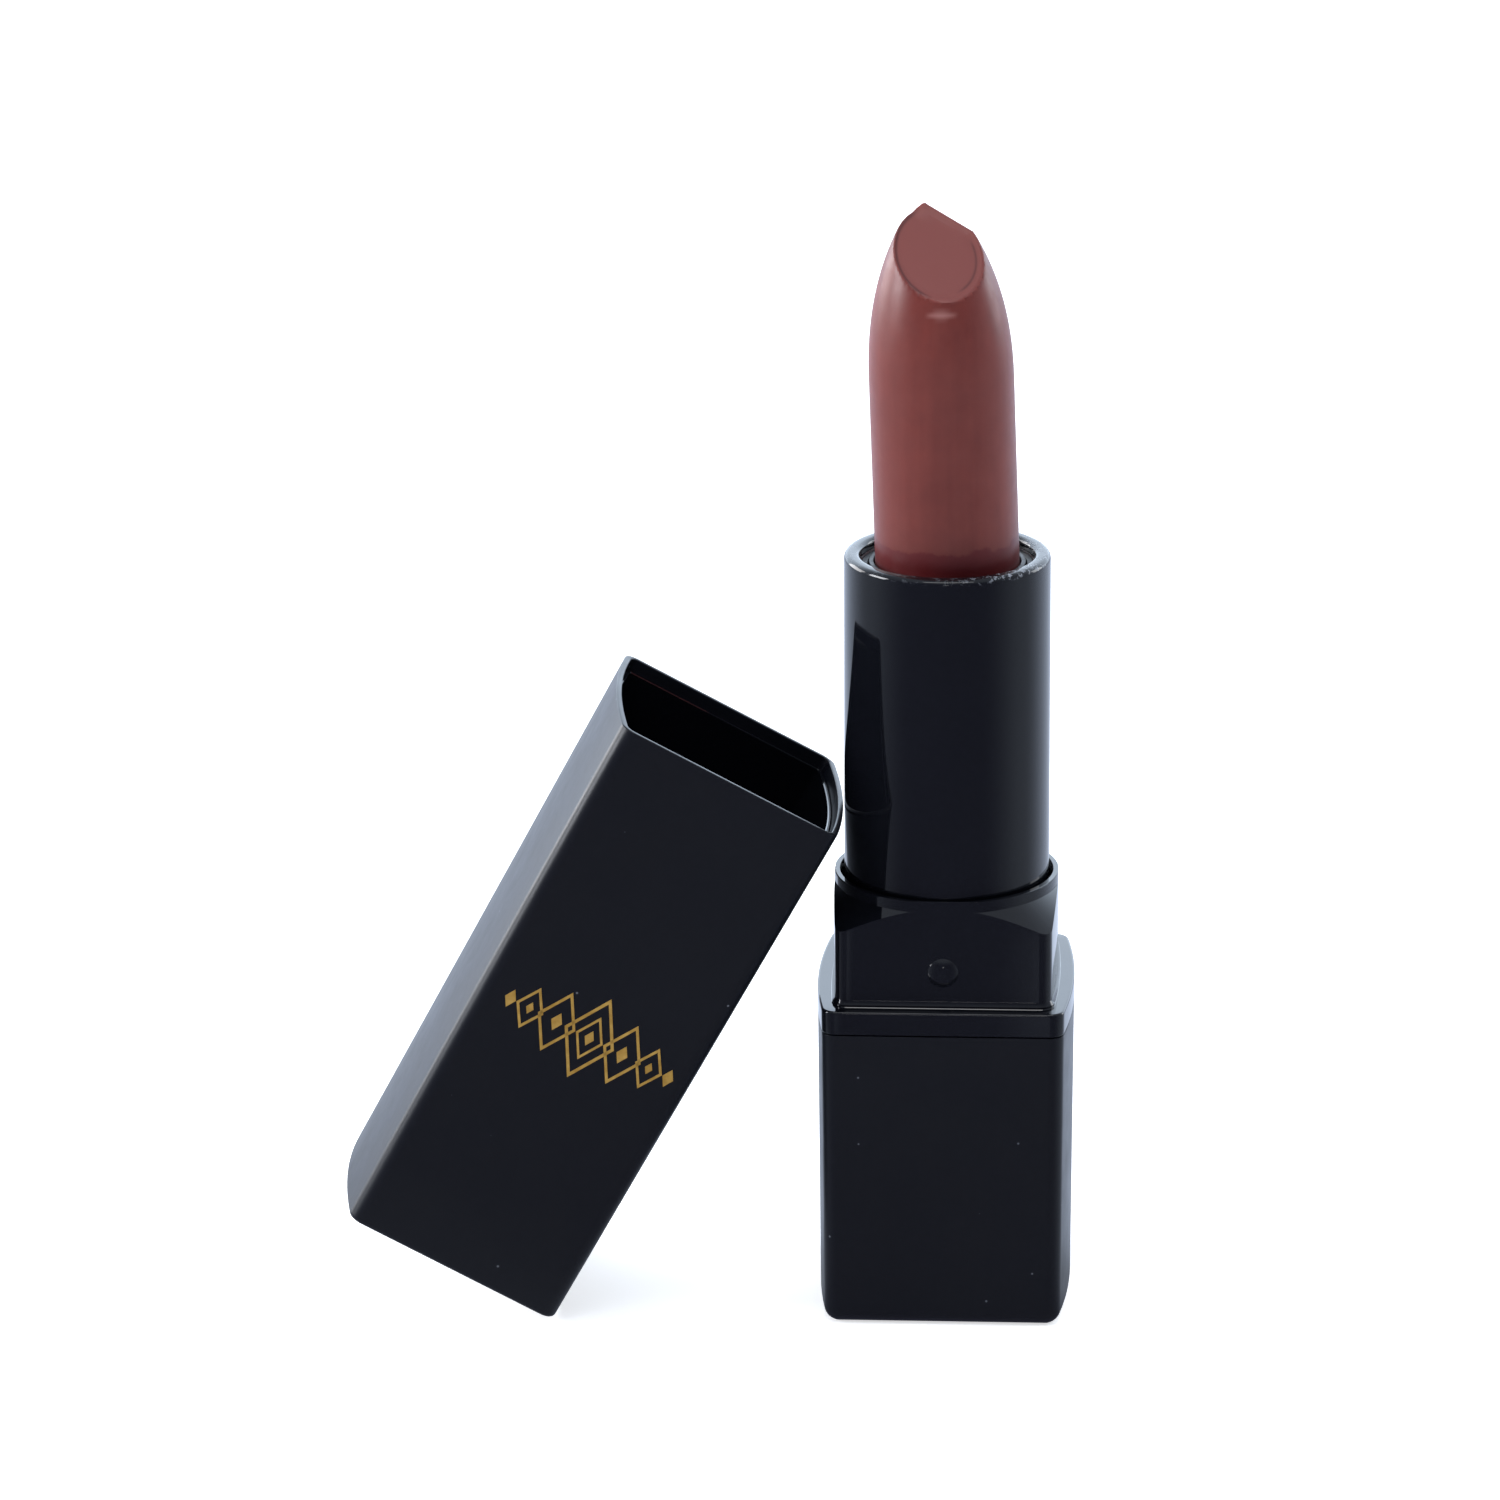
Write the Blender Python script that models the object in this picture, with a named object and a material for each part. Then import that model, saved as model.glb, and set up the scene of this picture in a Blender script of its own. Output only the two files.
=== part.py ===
"""Square lipstick case with a twist-up bullet, its cap taken off and leaning on the round tube.

Metres, +Z up. The origin is the middle of the base's underside, on the case's axis. The case is
square outside: flat at the front (-Y) and back, and gently bulged at the left and right. Turning
the round tube drives a helical sleeve, whose two grooves carry the lugs of the bullet's cup up and
down in the straight slots of the guide tube that stands in the base.
"""

import math

import bmesh
import bpy
from mathutils import Matrix, Vector

MM = 0.001

# Outer square section, shared by the base and the cap
CORNER_HALF_WIDTH = 9.86 * MM
SIDE_BULGE = 0.82 * MM
HALF_DEPTH = 10.24 * MM
EDGE_RADIUS = 1.05 * MM
DRAFT = 0.0073              # how much each side narrows per metre towards a closed end
LEAST_EDGE_RADIUS = 0.12 * MM

# Clearances
SNUG = 0.05 * MM            # between pieces pressed or glued together
RUNNING = 0.10 * MM         # between pieces that turn or slide on each other
SEAT = 0.10 * MM            # between stacked pieces that rest on each other

# Base shell and what it holds
PARTING_HEIGHT = 25.60 * MM
BASE_WALL = 0.90 * MM
BASE_FLOOR = 1.10 * MM
BASE_FOOT_RADIUS = 1.20 * MM
LABEL_INSET = 3.60 * MM
LABEL_THICKNESS = 0.15 * MM
LABEL_RECESS = 0.25 * MM
WEIGHT_HEIGHT = 4.00 * MM
WEIGHT_CLEARANCE = 0.60 * MM
CORE_FLOOR = 1.20 * MM

# Glossy collar: the ledge that the cap seats on, the shoulder and the ring round the tube
LEDGE_BAND = 2.00 * MM
LEDGE_EDGE_RADIUS = 0.22 * MM
SKIRT_DEPTH = 7.40 * MM
SHOULDER_HALF_WIDTH = 8.87 * MM
SHOULDER_HALF_DEPTH = 8.92 * MM
SHOULDER_BULGE = 0.40 * MM
SHOULDER_EDGE_RADIUS = 1.00 * MM
SHOULDER_HEIGHT = 8.35 * MM
ROOF_SLOPE = 0.65
RING_RADIUS = 9.32 * MM
RING_BAND = 0.90 * MM
RING_CHAMFER = 0.10 * MM
SNAP_RADIUS = 1.25 * MM
SNAP_RISE = 0.48 * MM
SNAP_HEIGHT = 3.05 * MM     # above the ledge

# Bullet and its cup
BULLET_RADIUS = 5.93 * MM
BULLET_LEAN = math.radians(1.9)
BULLET_REACH = 30.85 * MM   # the nose's uncut point above the tube's rim
NOSE_HEIGHT = 16.21 * MM
NOSE_POWER = 2.234
NOSE_ROUNDNESS = 0.819
NOSE_BEND = 0.355 * MM      # how far the nose's point bends to the left, beyond the lean
NOSE_BEND_POWER = 2.86
CUT_DEPTH = 4.22 * MM       # from the uncut point down to the slanted face
CUT_NORMAL = (0.157, -0.828, 1.0)
CHIP_DEPTH = 1.52 * MM      # from the uncut point down to the small facet behind the face
CHIP_NORMAL = (0.451, 0.503, 1.0)
CUP_WALL = 0.45 * MM
CUP_DEPTH = 11.40 * MM
CUP_FLOOR = 1.00 * MM
CUP_VENT_RADIUS = 1.50 * MM
CUP_BELOW_RIM = 0.70 * MM
LUG_RADIUS = 0.95 * MM
LUG_ABOVE_CUP_BASE = 1.60 * MM

# Mechanism
TRAVEL = 30.60 * MM
TURNS = 1.5
GUIDE_WALL = 0.45 * MM
GUIDE_FLANGE = 0.80 * MM
WASHER_THICKNESS = 0.50 * MM
SLEEVE_WALL = 0.80 * MM
SLEEVE_FOOT = 1.30 * MM     # solid ring under the grooves' lowest point
LUG_BITE = 0.60 * MM        # how far a lug reaches into the sleeve
GROOVE_SPARE = 0.12 * MM    # each side of a lug

# Round tube
TUBE_RADIUS = 8.50 * MM
TUBE_RIM_HEIGHT = 64.29 * MM
TUBE_LIP = 0.85 * MM
TUBE_MOUTH_RADIUS = 7.15 * MM
TUBE_RIM_ROUNDING = 0.30 * MM
BEAD_RISE = 0.18 * MM       # the bead at the tube's foot, which the collar holds down
BEAD_HEIGHT = 0.70 * MM

# Cap
CAP_LENGTH = 48.78 * MM
CAP_WALL = 0.51 * MM
CAP_END_WALL = 1.30 * MM
CAP_END_RADIUS = 0.40 * MM
CAP_TILT = math.radians(28.9)
CAP_TURN = math.radians(3.26)
CAP_FORWARD = 1.15 * MM     # how far the leaning cap stands in front of the case's axis
CAP_GAP = 0.06 * MM         # between the cap's mouth and the tube that it leans on
LINER_WALL = 0.30 * MM
LINER_SETBACK = 1.10 * MM
LINER_END_WALL = 0.80 * MM
SNAP_WINDOW_SPARE = 0.15 * MM

# Smoothness
CORNER_STEPS = 3
SIDE_STEPS = 8
ROUND_STEPS = 48
GROOVE_STEPS = 60
BEVEL_STEPS = 3

# Heights and radii that follow from the sizes above
LEDGE_HEIGHT = PARTING_HEIGHT + SEAT + LEDGE_BAND
SHOULDER_TOP = LEDGE_HEIGHT + SHOULDER_HEIGHT
RING_TOP = SHOULDER_TOP + RING_BAND
WEIGHT_BASE = BASE_FLOOR + SEAT
CORE_BASE = WEIGHT_BASE + WEIGHT_HEIGHT + SEAT
SKIRT_BASE = PARTING_HEIGHT - SKIRT_DEPTH
CORE_TOP = SKIRT_BASE - SEAT

CUP_INNER = BULLET_RADIUS + RUNNING
CUP_OUTER = CUP_INNER + CUP_WALL
GUIDE_INNER = CUP_OUTER + RUNNING
GUIDE_OUTER = GUIDE_INNER + GUIDE_WALL
SLEEVE_INNER = GUIDE_OUTER + RUNNING
SLEEVE_OUTER = SLEEVE_INNER + SLEEVE_WALL
TUBE_INNER = SLEEVE_OUTER + SNUG
COLLAR_BORE = TUBE_RADIUS + RUNNING
BEAD_BORE = TUBE_RADIUS + BEAD_RISE + RUNNING
LUG_REACH = SLEEVE_INNER + LUG_BITE

CUP_TOP = TUBE_RIM_HEIGHT - CUP_BELOW_RIM
CUP_BASE = CUP_TOP - CUP_DEPTH
LUG_TOP_HEIGHT = CUP_BASE + LUG_ABOVE_CUP_BASE
LUG_LOW_HEIGHT = LUG_TOP_HEIGHT - TRAVEL
GROOVE_RADIUS = LUG_RADIUS + GROOVE_SPARE
SLEEVE_TOP = TUBE_RIM_HEIGHT - TUBE_LIP - SNUG
GUIDE_TOP = TUBE_RIM_HEIGHT - TUBE_LIP - RUNNING
SLEEVE_BASE = LUG_LOW_HEIGHT - GROOVE_RADIUS - SLEEVE_FOOT
WASHER_TOP = SLEEVE_BASE - SEAT
FLANGE_TOP = WASHER_TOP - WASHER_THICKNESS - SEAT
BEAD_TOP = SLEEVE_BASE + BEAD_HEIGHT
GUIDE_BASE = CORE_BASE + CORE_FLOOR + SEAT

FRONT_AND_BACK = (("front", -1), ("back", 1))


def clear_scene():
    for old in list(bpy.data.objects):
        bpy.data.objects.remove(old, do_unlink=True)


def material(name, colour, roughness, metallic=0.0, coat=0.0):
    finish = bpy.data.materials.new(name)
    finish.use_nodes = True
    shader = finish.node_tree.nodes["Principled BSDF"]
    shader.inputs["Base Color"].default_value = (*colour, 1.0)
    shader.inputs["Roughness"].default_value = roughness
    shader.inputs["Metallic"].default_value = metallic
    shader.inputs["Coat Weight"].default_value = coat
    finish.diffuse_color = (*colour, 1.0)
    return finish


def satin_black(name):
    return material(name, (0.010, 0.011, 0.015), 0.42)


def gloss_black(name):
    return material(name, (0.008, 0.009, 0.011), 0.10, coat=0.6)


def inner_black(name):
    return material(name, (0.02, 0.02, 0.022), 0.5)


# Shapes

def arc(centre, radius, start, end, steps):
    """Points of an arc in the XY plane, both ends included."""
    return [
        (
            centre[0] + radius * math.cos(start + (end - start) * i / steps),
            centre[1] + radius * math.sin(start + (end - start) * i / steps),
        )
        for i in range(steps + 1)
    ]


def right_half(half_width, half_depth, bulge, edge_radius):
    """The +X half of the square section, from the front-right corner round to the back-right one."""
    side_radius = (half_depth**2 + bulge**2) / (2 * bulge)
    side_centre = half_width + bulge - side_radius
    fillet_y = half_depth - edge_radius
    fillet_x = side_centre + math.sqrt((side_radius - edge_radius) ** 2 - fillet_y**2)
    sweep = math.atan2(fillet_y, fillet_x - side_centre)
    corner = arc((fillet_x, -fillet_y), edge_radius, -math.pi / 2, -sweep, CORNER_STEPS)
    side = arc((side_centre, 0), side_radius, -sweep, sweep, SIDE_STEPS)
    return corner + side[1:-1] + [(x, -y) for x, y in reversed(corner)]


def square_ring(inset, height, narrowing=0.0):
    """One ring of the case's outer section, moved in by an inset, at a height."""
    shrink = inset + narrowing
    edge_radius = max(EDGE_RADIUS - inset, LEAST_EDGE_RADIUS)
    half = right_half(CORNER_HALF_WIDTH - shrink, HALF_DEPTH - shrink, SIDE_BULGE, edge_radius)
    outline = half + [(-x, -y) for x, y in half]
    return [Vector((x, y, height)) for x, y in outline]


def lofted(name, rings):
    """A closed body through a stack of rings of equally many points, capped at both ends."""
    bm = bmesh.new()
    loops = []
    for ring in rings:
        verts = [bm.verts.new(point) for point in ring]
        loops.append(verts)
    for lower, upper in zip(loops[:-1], loops[1:]):
        for i in range(len(lower)):
            j = (i + 1) % len(lower)
            bm.faces.new((lower[i], lower[j], upper[j], upper[i]))
    bm.faces.new(reversed(loops[0]))
    bm.faces.new(loops[-1])
    return finished(name, bm)


def turned(name, profile, ring=True, steps=ROUND_STEPS):
    """A body of revolution about Z from (radius, height) points. A ring's profile closes on itself."""
    bm = bmesh.new()
    verts = [bm.verts.new((radius, 0, height)) for radius, height in profile]
    pairs = list(zip(verts[:-1], verts[1:]))
    if ring:
        pairs.append((verts[-1], verts[0]))
    edges = [bm.edges.new(pair) for pair in pairs]
    bmesh.ops.spin(
        bm, geom=verts + edges, cent=(0, 0, 0), axis=(0, 0, 1), angle=2 * math.pi, steps=steps,
        use_merge=True,
    )
    bmesh.ops.remove_doubles(bm, verts=bm.verts, dist=1e-7)
    return finished(name, bm)


def box(name, low, high):
    bm = bmesh.new()
    bmesh.ops.create_cube(bm, size=1)
    middle = (Vector(low) + Vector(high)) / 2
    size = Vector(high) - Vector(low)
    bmesh.ops.scale(bm, vec=size, verts=bm.verts)
    bmesh.ops.translate(bm, vec=middle, verts=bm.verts)
    return finished(name, bm)


def peg(name, radius, start, end, steps=16):
    """A round peg between two points."""
    bm = bmesh.new()
    start = Vector(start)
    end = Vector(end)
    along = end - start
    bmesh.ops.create_cone(
        bm, cap_ends=True, segments=steps, radius1=radius, radius2=radius, depth=along.length,
    )
    turn = along.to_track_quat("Z", "Y").to_matrix().to_4x4()
    bmesh.ops.transform(bm, matrix=Matrix.Translation((start + end) / 2) @ turn, verts=bm.verts)
    return finished(name, bm)


def finished(name, bm):
    """The bmesh as an object, faces outwards and round surfaces smooth."""
    bmesh.ops.recalc_face_normals(bm, faces=bm.faces)
    mesh = bpy.data.meshes.new(name)
    bm.to_mesh(mesh)
    bm.free()
    mesh.shade_smooth()
    mesh.set_sharp_from_angle(angle=math.radians(35))
    piece = bpy.data.objects.new(name, mesh)
    bpy.context.scene.collection.objects.link(piece)
    return piece


def cut_edges(cut):
    """The edges that a bisection left open."""
    return [item for item in cut["geom_cut"] if isinstance(item, bmesh.types.BMEdge)]


def helper(piece):
    piece.hide_render = True
    piece.display_type = "WIRE"
    return piece


def combine(piece, other, operation):
    """A live Boolean between a piece and a helper."""
    modifier = piece.modifiers.new(other.name, "BOOLEAN")
    modifier.operation = operation
    modifier.solver = "EXACT"
    modifier.object = helper(other)


def quarter_round(radius, centre, start, steps=BEVEL_STEPS):
    """(across, along) points of a quarter turn of a rounded edge."""
    return arc(centre, radius, start, start + math.pi / 2, steps)


def end_edge(radius):
    """(inset, height) points of the rounded edge under a closed end, from its face up to its wall."""
    return list(reversed(quarter_round(radius, (radius, radius), math.pi)))


# Base

def base_draft(height):
    """How much narrower the base is at a height than at its parting line."""
    return DRAFT * (LEDGE_HEIGHT - height)


def base_ring(inset, height):
    return square_ring(inset, height, base_draft(height))


def build_base_shell():
    shell = lofted(
        "base_shell",
        [
            square_ring(LABEL_INSET, LABEL_RECESS),
            square_ring(LABEL_INSET, 0),
            *[base_ring(inset, height) for inset, height in end_edge(BASE_FOOT_RADIUS)],
            base_ring(0, PARTING_HEIGHT),
            base_ring(BASE_WALL, PARTING_HEIGHT),
            base_ring(BASE_WALL, BASE_FLOOR),
        ],
    )
    shell.data.materials.append(satin_black("satin_black_base"))


def build_base_label():
    gap = LABEL_INSET + SNUG
    label = lofted("base_label", [square_ring(gap, 0), square_ring(gap, LABEL_THICKNESS)])
    label.data.materials.append(material("label_silver", (0.62, 0.62, 0.63), 0.35, 0.6))


def build_base_weight():
    inset = BASE_WALL + WEIGHT_CLEARANCE + base_draft(WEIGHT_BASE)
    top = WEIGHT_BASE + WEIGHT_HEIGHT
    weight = lofted("base_weight", [square_ring(inset, WEIGHT_BASE), square_ring(inset, top)])
    weight.data.materials.append(material("zinc_plated_steel", (0.55, 0.56, 0.58), 0.35, 1.0))


def build_base_core():
    """The moulded block that is pressed into the shell and grips the guide tube's foot."""
    inset = BASE_WALL + SNUG
    core = lofted(
        "base_core",
        [base_ring(inset, CORE_BASE), base_ring(inset, CORE_TOP)],
    )
    floor = CORE_BASE + CORE_FLOOR
    bore = peg("core_bore", GUIDE_OUTER + SNUG, (0, 0, floor), (0, 0, CORE_TOP + MM), ROUND_STEPS)
    combine(core, bore, "DIFFERENCE")
    core.data.materials.append(inner_black("black_moulding_core"))


# Collar

def shoulder_block(name, base, top):
    """An upright block with the shoulder's section, flat in front and bulged at the sides."""
    half = right_half(SHOULDER_HALF_WIDTH, SHOULDER_HALF_DEPTH, SHOULDER_BULGE, SHOULDER_EDGE_RADIUS)
    outline = half + [(-x, -y) for x, y in half]
    rings = [[Vector((x, y, height)) for x, y in outline] for height in (base, top)]
    return lofted(name, rings)


def build_shoulder_collar():
    ledge_edge = [
        (LEDGE_EDGE_RADIUS - x, LEDGE_HEIGHT - LEDGE_EDGE_RADIUS + y)
        for x, y in quarter_round(LEDGE_EDGE_RADIUS, (0, 0), 0)
    ]
    skirt = BASE_WALL + SNUG
    band_base = PARTING_HEIGHT + SEAT
    collar = lofted(
        "shoulder_collar",
        [
            base_ring(skirt, SKIRT_BASE),
            base_ring(skirt, band_base),
            base_ring(0, band_base),
            *[square_ring(inset, height) for inset, height in ledge_edge],
        ],
    )
    overlap = LEDGE_BAND / 2
    shoulder = shoulder_block("shoulder_block", LEDGE_HEIGHT - overlap, SHOULDER_TOP)
    reach = math.hypot(SHOULDER_HALF_WIDTH + SHOULDER_BULGE, SHOULDER_HALF_DEPTH)
    fall = ROOF_SLOPE * (reach - RING_RADIUS)
    roof = turned(
        "shoulder_roof",
        [
            (0, SHOULDER_TOP + MM),
            (RING_RADIUS, SHOULDER_TOP + MM),
            (RING_RADIUS, SHOULDER_TOP - 0.01 * MM),
            (reach, SHOULDER_TOP - fall),
            (reach, LEDGE_HEIGHT - LEDGE_BAND),
            (0, LEDGE_HEIGHT - LEDGE_BAND),
        ],
        ring=False,
    )
    combine(shoulder, roof, "INTERSECT")
    ring = turned(
        "tube_ring",
        [
            (0, SHOULDER_TOP - overlap),
            (RING_RADIUS, SHOULDER_TOP - overlap),
            (RING_RADIUS, RING_TOP - RING_CHAMFER),
            (RING_RADIUS - RING_CHAMFER, RING_TOP),
            (0, RING_TOP),
        ],
        ring=False,
    )
    combine(ring, shoulder_block("ring_flats", SHOULDER_TOP - LEDGE_BAND, RING_TOP + MM), "INTERSECT")
    combine(collar, shoulder, "UNION")
    combine(collar, ring, "UNION")
    for name, side in FRONT_AND_BACK:
        combine(collar, snap_bump(name, side), "UNION")
    combine(collar, collar_bore(), "DIFFERENCE")
    collar.data.materials.append(gloss_black("gloss_black_collar"))


def collar_bore():
    """The bore that the tube turns in, wider round the bead at the tube's foot."""
    return turned(
        "collar_bore",
        [
            (0, SKIRT_BASE - MM),
            (BEAD_BORE, SKIRT_BASE - MM),
            (BEAD_BORE, BEAD_TOP + SEAT),
            (COLLAR_BORE, BEAD_TOP + SEAT),
            (COLLAR_BORE, RING_TOP + MM),
            (0, RING_TOP + MM),
        ],
        ring=False,
    )


def snap_bump(name, side):
    """A shallow dome on the shoulder's front or back, which clicks into the cap."""
    ball_radius = (SNAP_RADIUS**2 + SNAP_RISE**2) / (2 * SNAP_RISE)
    bm = bmesh.new()
    bmesh.ops.create_uvsphere(bm, u_segments=24, v_segments=24, radius=ball_radius)
    low = bmesh.ops.bisect_plane(
        bm, geom=bm.verts[:] + bm.edges[:] + bm.faces[:], dist=1e-7,
        plane_co=(0, 0, ball_radius - SNAP_RISE - 0.1 * MM), plane_no=(0, 0, -1), clear_outer=True,
    )
    bmesh.ops.holes_fill(bm, edges=cut_edges(low))
    turn = Matrix.Rotation(-side * math.pi / 2, 4, "X")
    ball_y = side * (SHOULDER_HALF_DEPTH + SNAP_RISE - ball_radius)
    middle = Vector((0, ball_y, LEDGE_HEIGHT + SNAP_HEIGHT))
    bmesh.ops.transform(bm, matrix=Matrix.Translation(middle) @ turn, verts=bm.verts)
    return finished(f"snap_bump_{name}", bm)


# Mechanism

def build_guide_tube():
    """The fixed tube in the base, with a flange under the turning pieces and two straight slots."""
    flange_radius = TUBE_RADIUS
    guide = turned(
        "guide_tube",
        [
            (GUIDE_INNER, GUIDE_BASE),
            (GUIDE_OUTER, GUIDE_BASE),
            (GUIDE_OUTER, FLANGE_TOP - GUIDE_FLANGE),
            (flange_radius, FLANGE_TOP - GUIDE_FLANGE),
            (flange_radius, FLANGE_TOP),
            (GUIDE_OUTER, FLANGE_TOP),
            (GUIDE_OUTER, GUIDE_TOP),
            (GUIDE_INNER, GUIDE_TOP),
        ],
    )
    reach = GUIDE_OUTER + MM
    slots = box(
        "guide_slots",
        (-reach, -GROOVE_RADIUS, LUG_LOW_HEIGHT - GROOVE_RADIUS),
        (reach, GROOVE_RADIUS, LUG_TOP_HEIGHT + GROOVE_RADIUS),
    )
    combine(guide, slots, "DIFFERENCE")
    guide.data.materials.append(inner_black("black_moulding_guide"))


def build_drag_washer():
    washer = turned(
        "drag_washer",
        [
            (SLEEVE_INNER, WASHER_TOP - WASHER_THICKNESS),
            (TUBE_RADIUS - SNUG, WASHER_TOP - WASHER_THICKNESS),
            (TUBE_RADIUS - SNUG, WASHER_TOP),
            (SLEEVE_INNER, WASHER_TOP),
        ],
    )
    washer.data.materials.append(material("white_felt", (0.75, 0.74, 0.7), 0.95))


def groove_cutter(name, start_angle):
    """A helical bar along the path that a lug takes through the sleeve, seen from the sleeve."""
    bm = bmesh.new()
    inner = SLEEVE_INNER - 0.3 * MM
    outer = SLEEVE_OUTER + 0.3 * MM
    sweep = 2 * math.pi * TURNS
    slope = math.atan2(TRAVEL, sweep * LUG_REACH)
    half_height = GROOVE_RADIUS / math.cos(slope)
    overrun = GROOVE_RADIUS / SLEEVE_INNER
    sections = []
    for i in range(GROOVE_STEPS + 1):
        turn = -overrun + (sweep + 2 * overrun) * i / GROOVE_STEPS
        height = LUG_TOP_HEIGHT - TRAVEL * turn / sweep
        angle = start_angle + turn
        corners = [
            (inner, height - half_height),
            (outer, height - half_height),
            (outer, height + half_height),
            (inner, height + half_height),
        ]
        sections.append(
            [bm.verts.new((r * math.cos(angle), r * math.sin(angle), z)) for r, z in corners]
        )
    for one, two in zip(sections[:-1], sections[1:]):
        for i in range(4):
            j = (i + 1) % 4
            bm.faces.new((one[i], one[j], two[j], two[i]))
    bm.faces.new(sections[0])
    bm.faces.new(reversed(sections[-1]))
    return finished(name, bm)


def build_spiral_sleeve():
    sleeve = turned(
        "spiral_sleeve",
        [
            (SLEEVE_INNER, SLEEVE_BASE),
            (SLEEVE_OUTER, SLEEVE_BASE),
            (SLEEVE_OUTER, SLEEVE_TOP),
            (SLEEVE_INNER, SLEEVE_TOP),
        ],
    )
    combine(sleeve, groove_cutter("groove_one", 0), "DIFFERENCE")
    combine(sleeve, groove_cutter("groove_two", math.pi), "DIFFERENCE")
    sleeve.data.materials.append(material("grey_acetal", (0.35, 0.35, 0.36), 0.4))


def build_tube_shell():
    """The glossy tube, with a lip turned in over the sleeve and a bead round its foot."""
    r = TUBE_RIM_ROUNDING
    outer_edge = quarter_round(r, (TUBE_RADIUS - r, TUBE_RIM_HEIGHT - r), 0)
    inner_edge = quarter_round(r, (TUBE_MOUTH_RADIUS + r, TUBE_RIM_HEIGHT - r), math.pi / 2)
    tube = turned(
        "tube_shell",
        [
            (TUBE_INNER, SLEEVE_BASE),
            (TUBE_RADIUS + BEAD_RISE, SLEEVE_BASE),
            (TUBE_RADIUS + BEAD_RISE, BEAD_TOP - BEAD_RISE),
            (TUBE_RADIUS, BEAD_TOP),
            *outer_edge,
            *inner_edge,
            (TUBE_MOUTH_RADIUS, TUBE_RIM_HEIGHT - TUBE_LIP),
            (TUBE_INNER, TUBE_RIM_HEIGHT - TUBE_LIP),
        ],
    )
    tube.data.materials.append(gloss_black("gloss_black_tube"))


def build_carrier_cup():
    """The cup that grips the bullet. A lug on each side runs in the guide's slots."""
    cup = turned(
        "carrier_cup",
        [
            (CUP_VENT_RADIUS, CUP_BASE),
            (CUP_OUTER, CUP_BASE),
            (CUP_OUTER, CUP_TOP),
            (CUP_INNER, CUP_TOP),
            (CUP_INNER, CUP_BASE + CUP_FLOOR),
            (CUP_VENT_RADIUS, CUP_BASE + CUP_FLOOR),
        ],
    )
    root = CUP_OUTER - CUP_WALL / 2
    for name, side in (("lug_left", -1), ("lug_right", 1)):
        start = (side * root, 0, LUG_TOP_HEIGHT)
        end = (side * LUG_REACH, 0, LUG_TOP_HEIGHT)
        combine(cup, peg(name, LUG_RADIUS, start, end), "UNION")
    cup.data.materials.append(inner_black("black_moulding_cup"))


def build_bullet():
    """The moulded bullet: a round stick with a domed nose, cut to a slanted face at the front.

    A smaller facet behind the face gives it its pointed top.
    """
    foot = CUP_BASE + CUP_FLOOR + SNUG
    point = TUBE_RIM_HEIGHT + BULLET_REACH
    nose_base = point - NOSE_HEIGHT
    steps = 14
    profile = [(0, foot), (BULLET_RADIUS, foot), (BULLET_RADIUS, CUP_TOP), (BULLET_RADIUS, nose_base)]
    for i in range(1, steps):
        along = math.sin(math.pi / 2 * i / steps)
        radius = BULLET_RADIUS * (1 - along**NOSE_POWER) ** NOSE_ROUNDNESS
        profile.append((radius, nose_base + NOSE_HEIGHT * along))
    profile.append((0, point))
    bullet = turned("bullet", profile, ring=False)
    bm = bmesh.new()
    bm.from_mesh(bullet.data)
    for vert in bm.verts:
        along = max(vert.co.z - nose_base, 0) / NOSE_HEIGHT
        vert.co.x -= math.tan(BULLET_LEAN) * max(vert.co.z - CUP_TOP, 0)
        vert.co.x -= NOSE_BEND * along**NOSE_BEND_POWER
    axis_x = -math.tan(BULLET_LEAN) * (point - CUP_TOP)
    for depth, normal in ((CUT_DEPTH, CUT_NORMAL), (CHIP_DEPTH, CHIP_NORMAL)):
        cut = bmesh.ops.bisect_plane(
            bm, geom=bm.verts[:] + bm.edges[:] + bm.faces[:], dist=1e-7,
            plane_co=(axis_x, 0, point - depth), plane_no=normal, clear_outer=True,
        )
        bmesh.ops.holes_fill(bm, edges=cut_edges(cut))
    bmesh.ops.recalc_face_normals(bm, faces=bm.faces)
    bm.to_mesh(bullet.data)
    bm.free()
    bullet.data.materials.append(material("rose_brown_wax", (0.30, 0.09, 0.08), 0.38))


# Cap, built standing on its closed end with that end's middle at the origin, then leant over

def cap_draft(depth):
    """How much narrower the cap is at a depth from its mouth than at the mouth."""
    return DRAFT * depth


def cap_ring(inset, height):
    return square_ring(inset, height, cap_draft(CAP_LENGTH - height))


def lean_on_tube(pieces):
    """Parents the cap's pieces to an empty on the edge it stands on, and leans it on the tube."""
    end_half_width = CORNER_HALF_WIDTH + SIDE_BULGE - cap_draft(CAP_LENGTH)
    edge = Vector((end_half_width - CAP_END_RADIUS, 0, CAP_END_RADIUS))
    mouth_x = CORNER_HALF_WIDTH + SIDE_BULGE - edge.x
    mouth_z = CAP_LENGTH - edge.z
    reach = mouth_x * math.cos(CAP_TILT) + mouth_z * math.sin(CAP_TILT)
    stand = bpy.data.objects.new("cap_stand", None)
    bpy.context.scene.collection.objects.link(stand)
    stand.location = (
        -TUBE_RADIUS - CAP_GAP - reach * math.cos(CAP_TURN),
        -CAP_FORWARD,
        CAP_END_RADIUS,
    )
    stand.rotation_euler = (0, CAP_TILT, CAP_TURN)
    for piece in pieces:
        piece.parent = stand
        piece.location = -edge


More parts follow.
